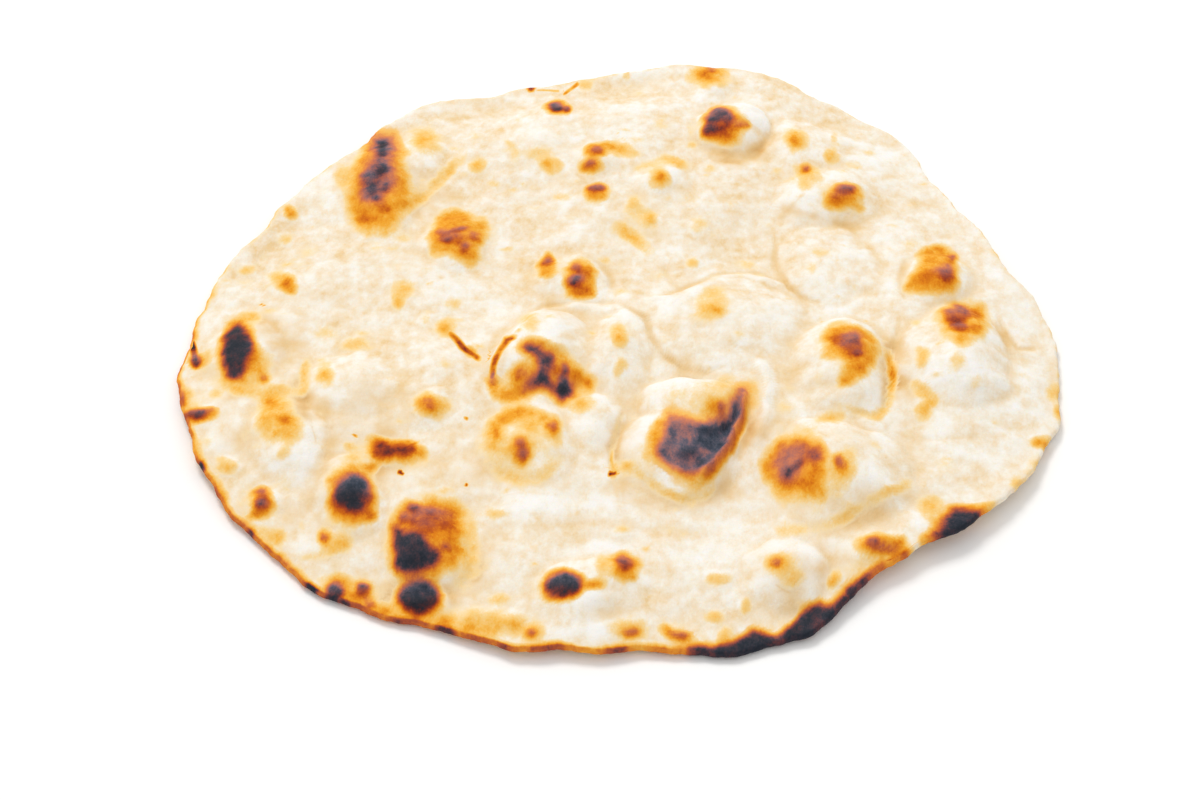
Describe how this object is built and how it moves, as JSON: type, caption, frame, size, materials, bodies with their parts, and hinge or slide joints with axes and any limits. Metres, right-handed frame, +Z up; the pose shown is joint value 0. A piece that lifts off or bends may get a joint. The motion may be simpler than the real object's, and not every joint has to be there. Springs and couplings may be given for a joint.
{
  "type": "tandoori roti",
  "caption": "Round blistered flatbread with an uneven hand-patted edge and a nearly flat underside that it rests on.",
  "frame": {"origin": "middle of the bread's bounding box, on the flat face it rests on", "axes": "+Z up through the blistered side, +X to the right and -Y towards the front as it is seen lying on a plate"},
  "size_m": [0.21, 0.2107, 0.0114],
  "materials": {
    "baked_crust": "dry floury baked dough with brown and black scorch marks"
  },
  "bodies": {
    "root": {"roti": "baked_crust"}
  },
  "joints": []
}
